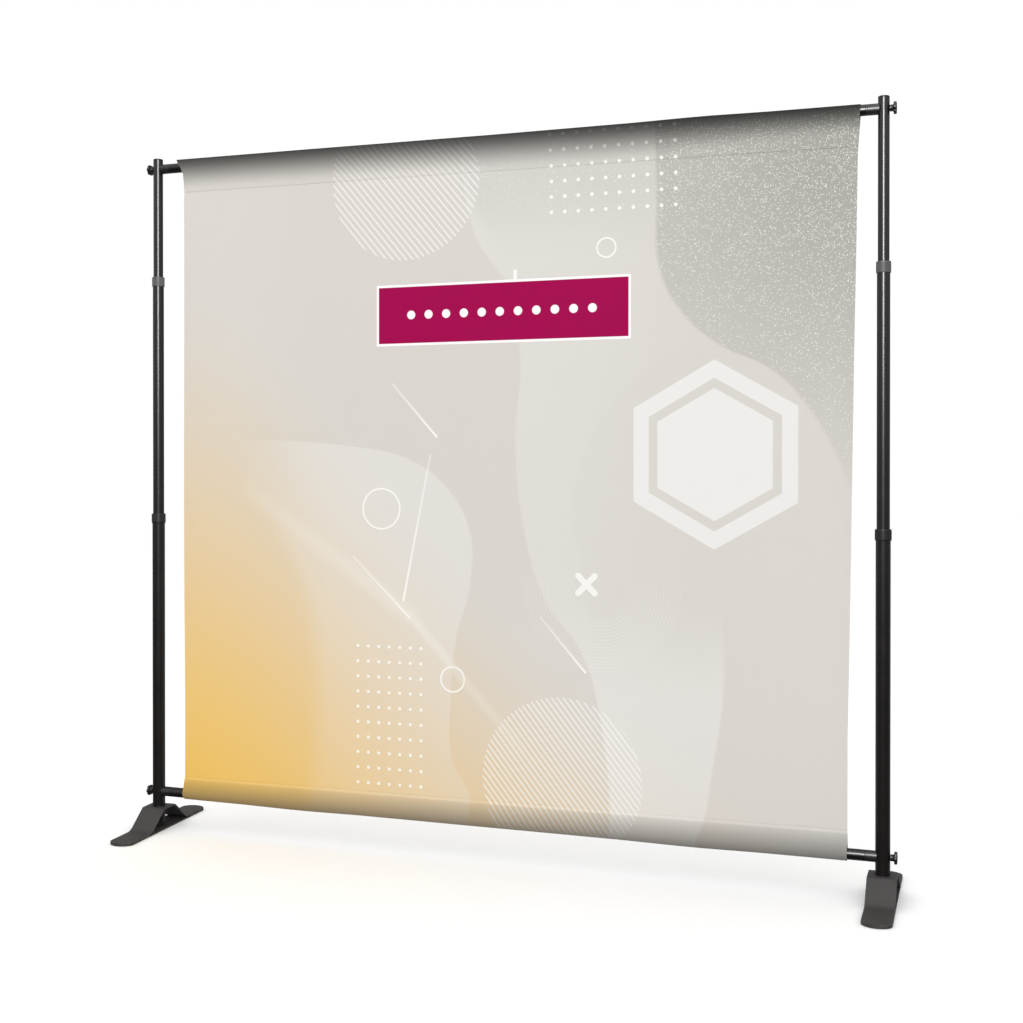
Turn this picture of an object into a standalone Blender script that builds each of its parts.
"""A telescopic banner stand: two three-section uprights on flat steel feet, an extending crossbar at the
top and another at the bottom, and a printed banner held between them by a sleeve round each bar.
X runs along the banner, -Y is its front, +Z is up, and the floor is z = 0."""

import math

import bmesh
import bpy
from mathutils import Matrix, Vector

# ------------------------------------------------------------------ driving sizes, metres
UPRIGHT_SPACING = 2.008
OVERALL_HEIGHT = 1.920
TOP_BAR_DROP = 0.030
BOTTOM_BAR_Z = 0.1024
FIT = 0.0003

# The three drawn tubes that slide in one another, each a step smaller than the one it slides in.
LOWER_RADIUS = 0.0175
TUBE_STEP = 0.002
TUBE_WALL = 0.0012
TUBE_CHAMFER = 0.0003

# How far each upright is pulled out: the height of the lower collar above the floor, the length from
# the upper collar to the top, and how far each tube stays inside the one below it.
LOWER_COLLAR_Z = {"left": 0.8743, "right": 0.8595}
TOP_SECTION = {"left": 0.3664, "right": 0.4214}
MID_OVERLAP = {"left": 0.1707, "right": 0.2109}
TOP_OVERLAP = {"left": 0.5014, "right": 0.4464}

# Twist collar and the slit collet in it.
COLLAR_HEIGHT = 0.0272
COLLAR_WALL = 0.0017
COLLAR_RIM_RISE = 0.0135
COLLAR_LIP = 0.0025
COLLAR_EDGE = 0.0008
COLLET_SLIT = math.radians(12.0)

# Guide bushes, caps and plugs in the ends of the upright tubes.
BUSH_FLANGE = 0.004
BUSH_SPIGOT = 0.018
BUSH_WALL = 0.0025
CAP_THICKNESS = 0.004
CAP_EDGE = 0.0012
CAP_SPIGOT = 0.0145
PLUG_HEIGHT = 0.034

# Foot: a flat plate under a strip bent into a low bridge that steadies the upright.
FOOT_LENGTH = 0.4235
FOOT_WIDTH = 0.070
FOOT_HEIGHT = 0.0602
PLATE_THICKNESS = 0.004
BRIDGE_TOP_HALF = 0.0295
BRIDGE_BASE_HALF = 0.0934
BRIDGE_TOP_BEND = 0.006
BRIDGE_BASE_BEND = 0.040
TIP_SAG = 0.012
TIP_RADIUS = 0.040
CORNER_RADIUS = 0.020

# M8 foot bolt with a countersunk head, and the M8 studs of the hand knobs.
SCREW_RADIUS = 0.004
SCREW_TIP = 0.001
SCREW_HEAD_RADIUS = 0.0074
SCREW_HEAD_DEPTH = 0.0034
SCREW_LENGTH = 0.028

# Hand knobs.
KNOB_RADIUS = 0.015
KNOB_LOBES = 6
KNOB_LOBE_DEPTH = 0.0022
KNOB_EDGE = 0.0009
HUB_RADIUS = 0.008
HUB_LENGTH = 0.0086
HEAD_THICKNESS = 0.0074
STUD_IN_KNOB = 0.0105
STUD_IN_BAR = 0.016

# Crossbars.
BAR_CENTRE_HALF = 0.550
BAR_OVERLAP = 0.3876
BAR_PLUG_END = 0.0415
BAR_PLUG_SPIGOT = 0.025
BAR_SADDLE_LIP = 0.004

# Banner.
BANNER_LEFT_GAP = 0.083
BANNER_RIGHT_GAP = 0.072
SLEEVE_OVERHANG_LEFT = 0.013
SLEEVE_OVERHANG_RIGHT = 0.014
CLOTH = 0.0008
TOP_SLEEVE_DROP = 0.078
BOTTOM_SLEEVE_RISE = 0.057

# ------------------------------------------------------------------ sizes that follow
MID_RADIUS = LOWER_RADIUS - TUBE_STEP
TOP_RADIUS = MID_RADIUS - TUBE_STEP
LOWER_BORE = LOWER_RADIUS - TUBE_WALL
MID_BORE = MID_RADIUS - TUBE_WALL
TOP_BORE = TOP_RADIUS - TUBE_WALL
SCREW_BORE = SCREW_RADIUS + FIT
UPRIGHT_X = UPRIGHT_SPACING / 2
TOP_BAR_Z = OVERALL_HEIGHT - TOP_BAR_DROP
STANDING_Z = PLATE_THICKNESS + FIT
SIDES = (("left", -1.0), ("right", 1.0))

ROUND = 20
SMALL_ROUND = 12
ARC_STEPS = 6
LOBE_STEPS = 5
SLEEVE_STEPS = 24
SMOOTH_ANGLE = math.radians(35.0)
CUT_MARGIN = 0.010

# ------------------------------------------------------------------ scene and finishes
for leftover in list(bpy.data.objects):
    bpy.data.objects.remove(leftover, do_unlink=True)

stand = bpy.data.collections.new("banner_stand")
cutters = bpy.data.collections.new("cutters")
bpy.context.scene.collection.children.link(stand)
bpy.context.scene.collection.children.link(cutters)
cutters.hide_render = True


def finish_of(name, colour, roughness, metallic):
    """One painted, plated or moulded finish."""
    material = bpy.data.materials.new(name)
    material.use_nodes = True
    shader = material.node_tree.nodes["Principled BSDF"]
    shader.inputs["Base Color"].default_value = (*colour, 1.0)
    shader.inputs["Roughness"].default_value = roughness
    shader.inputs["Metallic"].default_value = metallic
    material.diffuse_color = (*colour, 1.0)
    return material


BLACK_COAT = finish_of("black_tube_coat", (0.016, 0.015, 0.015), 0.32, 0.0)
FOOT_COAT = finish_of("charcoal_foot_coat", (0.052, 0.049, 0.047), 0.55, 0.0)
COLLAR_PLASTIC = finish_of("collar_nylon", (0.045, 0.045, 0.046), 0.45, 0.0)
BUSH_PLASTIC = finish_of("bush_acetal", (0.09, 0.09, 0.09), 0.5, 0.0)
KNOB_PLASTIC = finish_of("knob_nylon", (0.012, 0.012, 0.012), 0.4, 0.0)
PLUG_PLASTIC = finish_of("bar_plug_nylon", (0.02, 0.02, 0.02), 0.42, 0.0)
ZINC_STEEL = finish_of("zinc_steel", (0.55, 0.55, 0.57), 0.35, 1.0)
BANNER_FACE = finish_of("banner_print", (0.72, 0.70, 0.66), 0.7, 0.0)
BANNER_SLEEVE = finish_of("banner_sleeve_print", (0.45, 0.44, 0.42), 0.7, 0.0)


# ------------------------------------------------------------------ making and placing pieces
def add(name, data, material, collection=stand):
    """Puts a mesh or curve in the model as one named piece."""
    piece = bpy.data.objects.new(name, data)
    if not data.materials:
        data.materials.append(material)
    collection.objects.link(piece)
    return piece


def place(piece, location, rotation=(0.0, 0.0, 0.0)):
    piece.location = location
    piece.rotation_euler = rotation
    return piece


def smooth(mesh):
    mesh.shade_smooth()
    mesh.set_sharp_from_angle(angle=SMOOTH_ANGLE)
    return mesh


def as_mesh(piece):
    """Bakes an object's curve or modifiers into a plain mesh, welds its caps and removes the object."""
    graph = bpy.context.evaluated_depsgraph_get()
    mesh = bpy.data.meshes.new_from_object(piece.evaluated_get(graph))
    shape = bmesh.new()
    shape.from_mesh(mesh)
    bmesh.ops.remove_doubles(shape, verts=shape.verts, dist=0.00001)
    bmesh.ops.recalc_face_normals(shape, faces=shape.faces)
    shape.to_mesh(mesh)
    shape.free()
    mesh.name = piece.name
    bpy.data.objects.remove(piece, do_unlink=True)
    return smooth(mesh)


def turned(name, profile, steps=ROUND):
    """The mesh of a closed profile of (radius, height) points turned about Z with a Screw. The profile
    runs down its outer side first. One that starts and ends on the axis is left open there."""
    on_axis = profile[0][0] == 0.0 and profile[-1][0] == 0.0
    count = len(profile)
    edges = [(number, number + 1) for number in range(count - 1)]
    if not on_axis:
        edges.append((count - 1, 0))
    section = bpy.data.meshes.new(name)
    section.from_pydata([(radius, 0.0, height) for radius, height in profile], edges, [])
    piece = bpy.data.objects.new(name, section)
    bpy.context.scene.collection.objects.link(piece)
    screw = piece.modifiers.new("turn", "SCREW")
    screw.axis = "Z"
    screw.angle = 2 * math.pi
    screw.steps = steps
    screw.render_steps = steps
    screw.use_merge_vertices = True
    screw.merge_threshold = 0.00001
    return as_mesh(piece)


def flat_shape(name, outlines, thickness):
    """The mesh of closed outlines of (x, y) points, filled in the XY plane and as thick as asked. A
    second outline inside the first is a hole."""
    curve = bpy.data.curves.new(name, "CURVE")
    curve.dimensions = "2D"
    curve.fill_mode = "BOTH"
    curve.extrude = thickness / 2
    for outline in outlines:
        spline = curve.splines.new("POLY")
        spline.points.add(len(outline) - 1)
        for point, (x, y) in zip(spline.points, outline):
            point.co = (x, y, 0.0, 1.0)
        spline.use_cyclic_u = True
    piece = bpy.data.objects.new(name, curve)
    bpy.context.scene.collection.objects.link(piece)
    return as_mesh(piece)


def arc(radius, start, end, steps):
    """Points about the origin along an arc between two angles."""
    angles = [start + (end - start) * step / steps for step in range(steps + 1)]
    return [(radius * math.cos(angle), radius * math.sin(angle)) for angle in angles]


def rounded(corners, closed):
    """A path through (x, y, radius) corners, with each corner that has a radius turned into an arc."""
    path = []
    for number, (x, y, radius) in enumerate(corners):
        here = Vector((x, y))
        if radius == 0.0 or (not closed and number in (0, len(corners) - 1)):
            path.append(here)
            continue
        back = (Vector(corners[number - 1][:2]) - here).normalized()
        forward = (Vector(corners[(number + 1) % len(corners)][:2]) - here).normalized()
        half = back.angle(forward) / 2
        centre = here + (back + forward).normalized() * (radius / math.sin(half))
        spoke = here + back * (radius / math.tan(half)) - centre
        sweep = math.copysign(math.pi - 2 * half, spoke.cross(forward))
        for step in range(ARC_STEPS + 1):
            path.append(centre + Matrix.Rotation(sweep * step / ARC_STEPS, 2) @ spoke)
    return path


def as_cutter(cutter):
    cutter.hide_render = True
    cutter.display_type = "WIRE"
    return cutter


def rod_cutter(name, radius, middle, direction, length):
    """A round cutter of the given length about its middle, lying along the given direction."""
    rod = bmesh.new()
    bmesh.ops.create_cone(
        rod, cap_ends=True, segments=ROUND, radius1=radius, radius2=radius, depth=length
    )
    mesh = bpy.data.meshes.new(name)
    rod.to_mesh(mesh)
    rod.free()
    cutter = as_cutter(add(name, smooth(mesh), ZINC_STEEL, cutters))
    cutter.location = middle
    cutter.rotation_mode = "QUATERNION"
    cutter.rotation_quaternion = Vector(direction).to_track_quat("Z", "Y")
    return cutter


def box(name, low, high, material, collection=stand):
    """A box between two corners, with its origin at the world's."""
    shape = bmesh.new()
    size = Vector(high) - Vector(low)
    middle = (Vector(high) + Vector(low)) / 2
    bmesh.ops.create_cube(shape, size=1.0, matrix=Matrix.Translation(middle) @ Matrix.Diagonal((*size, 1.0)))
    mesh = bpy.data.meshes.new(name)
    shape.to_mesh(mesh)
    shape.free()
    return add(name, mesh, material, collection)


def combine(piece, other, operation="DIFFERENCE"):
    modifier = piece.modifiers.new(other.name, "BOOLEAN")
    modifier.operation = operation
    modifier.solver = "EXACT"
    modifier.object = other


# ------------------------------------------------------------------ shared shapes
def collar_mesh(name, radius, inner_radius):
    """The twist collar: a sleeve over a tube's end with a lip that closes on the sliding tube."""
    bore = radius + FIT
    outer = bore + COLLAR_WALL
    lip = inner_radius + FIT
    profile = [
        (outer - COLLAR_EDGE, COLLAR_HEIGHT),
        (outer, COLLAR_HEIGHT - COLLAR_EDGE),
        (outer, COLLAR_EDGE),
        (outer - COLLAR_EDGE, 0.0),
        (bore, 0.0),
        (bore, COLLAR_HEIGHT - COLLAR_LIP),
        (lip, COLLAR_HEIGHT - COLLAR_LIP),
        (lip, COLLAR_HEIGHT),
    ]
    return turned(name, profile)


def collet_mesh(name, radius, inner_radius):
    """The slit ring between the tube's rim and the collar's lip, which grips the sliding tube."""
    bottom = COLLAR_RIM_RISE + FIT
    top = COLLAR_HEIGHT - COLLAR_LIP - FIT
    start = COLLET_SLIT / 2
    end = 2 * math.pi - start
    outline = arc(radius, start, end, ROUND) + arc(inner_radius + FIT, end, start, ROUND)
    mesh = flat_shape(name, [outline], top - bottom)
    mesh.transform(Matrix.Translation((0.0, 0.0, (top + bottom) / 2)))
    return mesh


def bush_mesh(name, guide_bore, tube_bore):
    """A guide bush for a tube's lower end: a flange that runs in the outer tube, and a spigot."""
    flange = guide_bore - FIT
    spigot = tube_bore - FIT
    profile = [
        (spigot, BUSH_SPIGOT),
        (spigot, -FIT),
        (flange, -FIT),
        (flange, -FIT - BUSH_FLANGE),
        (spigot - BUSH_WALL, -FIT - BUSH_FLANGE),
        (spigot - BUSH_WALL, BUSH_SPIGOT),
    ]
    return turned(name, profile)


def tube_mesh(name, outer, inner, bottom, top):
    """A drawn tube, its upper end lightly chamfered."""
    profile = [
        (outer - TUBE_CHAMFER, top),
        (outer, top - TUBE_CHAMFER),
        (outer, bottom),
        (inner, bottom),
        (inner, top),
    ]
    return turned(name, profile)


def knob_mesh(name):
    """A lobed hand knob: a hub that bears on the upright, a lobed head, and a blind bore for the stud."""
    points = KNOB_LOBES * LOBE_STEPS
    outline = []
    for number in range(points):
        angle = 2 * math.pi * number / points
        reach = KNOB_RADIUS - KNOB_LOBE_DEPTH * (0.5 - 0.5 * math.cos(KNOB_LOBES * angle))
        outline.append((reach * math.cos(angle), reach * math.sin(angle)))
    head_middle = HUB_LENGTH + HEAD_THICKNESS / 2
    head = add(name, flat_shape(name, [outline], HEAD_THICKNESS), KNOB_PLASTIC)
    head.data.transform(Matrix.Translation((0.0, 0.0, head_middle)))
    edge = head.modifiers.new("edge", "BEVEL")
    edge.width = KNOB_EDGE
    edge.segments = 1
    edge.limit_method = "ANGLE"
    edge.angle_limit = math.radians(60.0)
    hub = rod_cutter(f"{name}_hub", HUB_RADIUS, (0.0, 0.0, head_middle / 2), (0, 0, 1), head_middle)
    combine(head, hub, "UNION")
    bore_length = STUD_IN_KNOB + CUT_MARGIN
    bore_middle = (0.0, 0.0, STUD_IN_KNOB - bore_length / 2)
    combine(head, rod_cutter(f"{name}_bore", SCREW_BORE, bore_middle, (0, 0, 1), bore_length))
    return as_mesh(head)


def stud_mesh(name, length):
    """The knob's threaded stud, lying along +Z from its pointed inner end at 0."""
    profile = [
        (0.0, length),
        (SCREW_RADIUS, length),
        (SCREW_RADIUS, SCREW_TIP),
        (SCREW_RADIUS - SCREW_TIP, 0.0),
        (0.0, 0.0),
    ]
    return turned(name, profile, SMALL_ROUND)


def bar_plug_mesh(name):
    """The plug in a crossbar's end, along +Z from the upright's axis towards the middle of the bar."""
    spigot = TOP_BORE - FIT
    reach = BAR_PLUG_END + BAR_PLUG_SPIGOT
    depth = LOWER_RADIUS + 2 * FIT + STUD_IN_BAR
    profile = [
        (0.0, reach),
        (spigot, reach),
        (spigot, BAR_PLUG_END),
        (TOP_RADIUS, BAR_PLUG_END),
        (TOP_RADIUS, 0.0),
        (SCREW_BORE, 0.0),
        (SCREW_BORE, depth),
        (0.0, depth),
    ]
    return turned(name, profile)


COLLARS = {
    "lower": collar_mesh("lower_collar", LOWER_RADIUS, MID_RADIUS),
    "upper": collar_mesh("upper_collar", MID_RADIUS, TOP_RADIUS),
}
COLLETS = {
    "lower": collet_mesh("lower_collet", LOWER_RADIUS, MID_RADIUS),
    "upper": collet_mesh("upper_collet", MID_RADIUS, TOP_RADIUS),
}
KNOB = knob_mesh("hand_knob")

# ------------------------------------------------------------------ feet
TIP = FOOT_LENGTH / 2
HALF_WIDTH = FOOT_WIDTH / 2
SHOULDER = TIP - TIP_SAG
FOOT_OUTLINE = rounded(
    [
        (-HALF_WIDTH, SHOULDER, CORNER_RADIUS),
        (-HALF_WIDTH, -SHOULDER, CORNER_RADIUS),
        (0.0, -TIP, TIP_RADIUS),
        (HALF_WIDTH, -SHOULDER, CORNER_RADIUS),
        (HALF_WIDTH, SHOULDER, CORNER_RADIUS),
        (0.0, TIP, TIP_RADIUS),
    ],
    closed=True,
)
TOE_Z = STANDING_Z + PLATE_THICKNESS / 2
BRIDGE_Z = FOOT_HEIGHT - PLATE_THICKNESS / 2
STRIP_PATH = rounded(
    [
        (-TIP - CUT_MARGIN, TOE_Z, 0.0),
        (-BRIDGE_BASE_HALF, TOE_Z, BRIDGE_BASE_BEND),
        (-BRIDGE_TOP_HALF, BRIDGE_Z, BRIDGE_TOP_BEND),
        (BRIDGE_TOP_HALF, BRIDGE_Z, BRIDGE_TOP_BEND),
        (BRIDGE_BASE_HALF, TOE_Z, BRIDGE_BASE_BEND),
        (TIP + CUT_MARGIN, TOE_Z, 0.0),
    ],
    closed=False,
)


def thickened(path, thickness):
    """The outline of a strip of even thickness centred on an open path."""
    above = []
    below = []
    for number, point in enumerate(path):
        before = path[max(number - 1, 0)]
        after = path[min(number + 1, len(path) - 1)]
        normal = (after - before).orthogonal().normalized() * thickness / 2
        above.append(point + normal)
        below.append(point - normal)
    return above + below[::-1]


def build_foot(side, x):
    """The base plate, the bent bridge over it and the bolt that holds the upright from below."""
    plate_mesh = flat_shape(f"{side}_foot_base_plate", [FOOT_OUTLINE], PLATE_THICKNESS)
    plate_mesh.transform(Matrix.Translation((0.0, 0.0, PLATE_THICKNESS / 2)))
    plate = place(add(f"{side}_foot_base_plate", plate_mesh, FOOT_COAT), (x, 0.0, 0.0))
    sink = SCREW_HEAD_RADIUS + FIT
    sink_profile = [
        (0.0, PLATE_THICKNESS + CUT_MARGIN),
        (SCREW_BORE, PLATE_THICKNESS + CUT_MARGIN),
        (SCREW_BORE, SCREW_HEAD_DEPTH + FIT),
        (sink, FIT),
        (sink, -CUT_MARGIN),
        (0.0, -CUT_MARGIN),
    ]
    sink_mesh = turned(f"{side}_foot_countersink", sink_profile)
    countersink = as_cutter(add(f"{side}_foot_countersink", sink_mesh, ZINC_STEEL, cutters))
    combine(plate, place(countersink, (x, 0.0, 0.0)))

    # The strip's side view is drawn in XY, then stood up so that its path runs along Y.
    strip_outline = thickened(STRIP_PATH, PLATE_THICKNESS)
    strip_mesh = flat_shape(f"{side}_foot_bracket", [strip_outline], FOOT_WIDTH + 2 * CUT_MARGIN)
    strip_mesh.transform(Matrix.Rotation(math.pi / 2, 4, "Z") @ Matrix.Rotation(math.pi / 2, 4, "X"))
    bridge = place(add(f"{side}_foot_bracket", strip_mesh, FOOT_COAT), (x, 0.0, 0.0))
    trim_mesh = flat_shape(f"{side}_foot_plan", [FOOT_OUTLINE], 2 * (FOOT_HEIGHT + CUT_MARGIN))
    trim = as_cutter(add(f"{side}_foot_plan", trim_mesh, ZINC_STEEL, cutters))
    combine(bridge, place(trim, (x, 0.0, 0.0)), "INTERSECT")
    hole_at = (x, 0.0, BRIDGE_Z)
    hole = rod_cutter(f"{side}_foot_pole_hole", LOWER_RADIUS + FIT, hole_at, (0, 0, 1), 4 * PLATE_THICKNESS)
    combine(bridge, hole)

    bolt_profile = [
        (0.0, FIT + SCREW_LENGTH),
        (SCREW_RADIUS - SCREW_TIP, FIT + SCREW_LENGTH),
        (SCREW_RADIUS, FIT + SCREW_LENGTH - SCREW_TIP),
        (SCREW_RADIUS, FIT + SCREW_HEAD_DEPTH),
        (SCREW_HEAD_RADIUS, FIT),
        (0.0, FIT),
    ]
    bolt_mesh = turned(f"{side}_foot_bolt", bolt_profile, SMALL_ROUND)
    place(add(f"{side}_foot_bolt", bolt_mesh, ZINC_STEEL), (x, 0.0, 0.0))


# ------------------------------------------------------------------ uprights
def build_upright(side, x):
    """Three telescoping tubes with their end fittings, from the foot plate to the cap."""
    lower_collar_z = LOWER_COLLAR_Z[side]
    upper_collar_z = OVERALL_HEIGHT - TOP_SECTION[side]
    lower_rim = lower_collar_z + COLLAR_RIM_RISE
    upper_rim = upper_collar_z + COLLAR_RIM_RISE
    mid_end = lower_rim - MID_OVERLAP[side]
    top_end = upper_rim - TOP_OVERLAP[side]
    top_rim = OVERALL_HEIGHT - CAP_THICKNESS - FIT
    tubes = (
        ("lower", LOWER_RADIUS, LOWER_BORE, STANDING_Z, lower_rim),
        ("mid", MID_RADIUS, MID_BORE, mid_end, upper_rim),
        ("top", TOP_RADIUS, TOP_BORE, top_end, top_rim),
    )
    for section, outer, inner, bottom, top in tubes:
        mesh = tube_mesh(f"{side}_{section}_tube", outer, inner, 0.0, top - bottom)
        place(add(f"{side}_{section}_tube", mesh, BLACK_COAT), (x, 0.0, bottom))

    plug_bore_depth = SCREW_LENGTH + 2 * FIT - STANDING_Z
    plug_profile = [
        (0.0, PLUG_HEIGHT),
        (LOWER_BORE - FIT, PLUG_HEIGHT),
        (LOWER_BORE - FIT, 0.0),
        (SCREW_BORE, 0.0),
        (SCREW_BORE, plug_bore_depth),
        (0.0, plug_bore_depth),
    ]
    plug_mesh = turned(f"{side}_bottom_plug", plug_profile)
    place(add(f"{side}_bottom_plug", plug_mesh, BUSH_PLASTIC), (x, 0.0, STANDING_Z))

    cap_profile = [
        (0.0, CAP_THICKNESS),
        (TOP_RADIUS - CAP_EDGE, CAP_THICKNESS),
        (TOP_RADIUS, CAP_THICKNESS - CAP_EDGE),
        (TOP_RADIUS, 0.0),
        (TOP_BORE - FIT, 0.0),
        (TOP_BORE - FIT, -CAP_SPIGOT),
        (0.0, -CAP_SPIGOT),
    ]
    cap_mesh = turned(f"{side}_top_cap", cap_profile)
    place(add(f"{side}_top_cap", cap_mesh, KNOB_PLASTIC), (x, 0.0, OVERALL_HEIGHT - CAP_THICKNESS))

    mid_bush = bush_mesh(f"{side}_mid_bush", LOWER_BORE, MID_BORE)
    place(add(f"{side}_mid_bush", mid_bush, BUSH_PLASTIC), (x, 0.0, mid_end))
    top_bush = bush_mesh(f"{side}_top_bush", MID_BORE, TOP_BORE)
    place(add(f"{side}_top_bush", top_bush, BUSH_PLASTIC), (x, 0.0, top_end))

    for level, height in (("lower", lower_collar_z), ("upper", upper_collar_z)):
        place(add(f"{side}_{level}_collet", COLLETS[level], BUSH_PLASTIC), (x, 0.0, height))
        place(add(f"{side}_{level}_collar", COLLARS[level], COLLAR_PLASTIC), (x, 0.0, height))


# ------------------------------------------------------------------ crossbars
def build_bar(level, z):
    """A centre tube, two end tubes that slide in it, and at each joint a collet and twist collar."""
    name = f"{level}_bar_centre_tube"
    centre = add(name, tube_mesh(name, MID_RADIUS, MID_BORE, -BAR_CENTRE_HALF, BAR_CENTRE_HALF), BLACK_COAT)
    place(centre, (0.0, 0.0, z), (0.0, math.pi / 2, 0.0))
    inner_end = BAR_CENTRE_HALF - BAR_OVERLAP
    end_length = UPRIGHT_X - BAR_PLUG_END - FIT - inner_end
    for side, sign in SIDES:
        outward = (0.0, sign * math.pi / 2, 0.0)
        name = f"{level}_bar_{side}_tube"
        end = add(name, tube_mesh(name, TOP_RADIUS, TOP_BORE, 0.0, end_length), BLACK_COAT)
        place(end, (sign * inner_end, 0.0, z), outward)
        collar_at = (sign * (BAR_CENTRE_HALF - COLLAR_RIM_RISE), 0.0, z)
        place(add(f"{level}_bar_{side}_collet", COLLETS["upper"], BUSH_PLASTIC), collar_at, outward)
        place(add(f"{level}_bar_{side}_collar", COLLARS["upper"], COLLAR_PLASTIC), collar_at, outward)


def build_bar_end(level, side, sign, z, upright, upright_radius):
    """The plug seated on the upright, and the hand knob whose stud pulls the plug home."""
    x = sign * UPRIGHT_X
    outward = (0.0, sign * math.pi / 2, 0.0)
    inward = (0.0, -sign * math.pi / 2, 0.0)
    seat = upright_radius + FIT
    name = f"{level}_bar_{side}_plug"
    plug = place(add(name, bar_plug_mesh(name), PLUG_PLASTIC), (x, 0.0, z), inward)
    reach = 2 * LOWER_RADIUS
    near_x, far_x = sorted((x - sign * (seat - BAR_SADDLE_LIP), x + sign * reach))
    trim_low = (near_x, -reach, z - reach)
    trim_high = (far_x, reach, z + reach)
    combine(plug, as_cutter(box(f"{name}_lip_trim", trim_low, trim_high, ZINC_STEEL, cutters)))
    combine(plug, rod_cutter(f"{name}_saddle", seat, (x, 0.0, z), (0, 0, 1), 2 * reach))

    hole = rod_cutter(f"{level}_{side}_stud_hole", SCREW_BORE, (x, 0.0, z), (1, 0, 0), 2 * reach)
    combine(bpy.data.objects[upright], hole)
    place(add(f"{side}_{level}_knob", KNOB, KNOB_PLASTIC), (x + sign * seat, 0.0, z), outward)
    inner_reach = seat + STUD_IN_BAR - FIT
    name = f"{side}_{level}_knob_stud"
    stud = add(name, stud_mesh(name, inner_reach + seat + STUD_IN_KNOB - FIT), ZINC_STEEL)
    place(stud, (x - sign * inner_reach, 0.0, z), outward)


# ------------------------------------------------------------------ banner
def sleeve_loop(radius, reach):
    """A teardrop round the bar's axis: most of a circle, closed by two straight sides on a seam that
    lies the given reach along +Y."""
    open_angle = math.acos(radius / reach)
    start = math.pi / 2 + open_angle
    end = math.pi * 2.5 - open_angle
    return [(0.0, reach), *arc(radius, start, end, SLEEVE_STEPS)]


def build_sleeve(name, z, reach, tilt, left, right):
    """A sleeve of cloth that wraps a bar, clear of the collars that turn inside it."""
    inner = MID_RADIUS + FIT + COLLAR_WALL + FIT
    outer = inner + CLOTH
    loops = [sleeve_loop(outer, reach), sleeve_loop(inner, reach * inner / outer)]
    mesh = flat_shape(name, loops, right - left)
    place(add(name, mesh, BANNER_SLEEVE), ((left + right) / 2, 0.0, z), (tilt, 0.0, math.pi / 2))


def build_banner():
    """One sheet between the two sleeves, which reach a little past its pulled-in edges."""
    left = BANNER_LEFT_GAP - UPRIGHT_X
    right = UPRIGHT_X - BANNER_RIGHT_GAP
    sleeve_left = left - SLEEVE_OVERHANG_LEFT
    sleeve_right = right + SLEEVE_OVERHANG_RIGHT
    seam_down, seam_up = -math.pi / 2, math.pi / 2
    build_sleeve("banner_top_sleeve", TOP_BAR_Z, TOP_SLEEVE_DROP, seam_down, sleeve_left, sleeve_right)
    build_sleeve("banner_bottom_sleeve", BOTTOM_BAR_Z, BOTTOM_SLEEVE_RISE, seam_up, sleeve_left, sleeve_right)
    low = (left, -CLOTH / 2, BOTTOM_BAR_Z + BOTTOM_SLEEVE_RISE + FIT)
    high = (right, CLOTH / 2, TOP_BAR_Z - TOP_SLEEVE_DROP - FIT)
    box("banner_panel", low, high, BANNER_FACE)


# ------------------------------------------------------------------ the whole stand
for side, sign in SIDES:
    build_foot(side, sign * UPRIGHT_X)
    build_upright(side, sign * UPRIGHT_X)
    build_bar_end("bottom", side, sign, BOTTOM_BAR_Z, f"{side}_lower_tube", LOWER_RADIUS)
    build_bar_end("top", side, sign, TOP_BAR_Z, f"{side}_top_tube", TOP_RADIUS)
build_bar("bottom", BOTTOM_BAR_Z)
build_bar("top", TOP_BAR_Z)
build_banner()
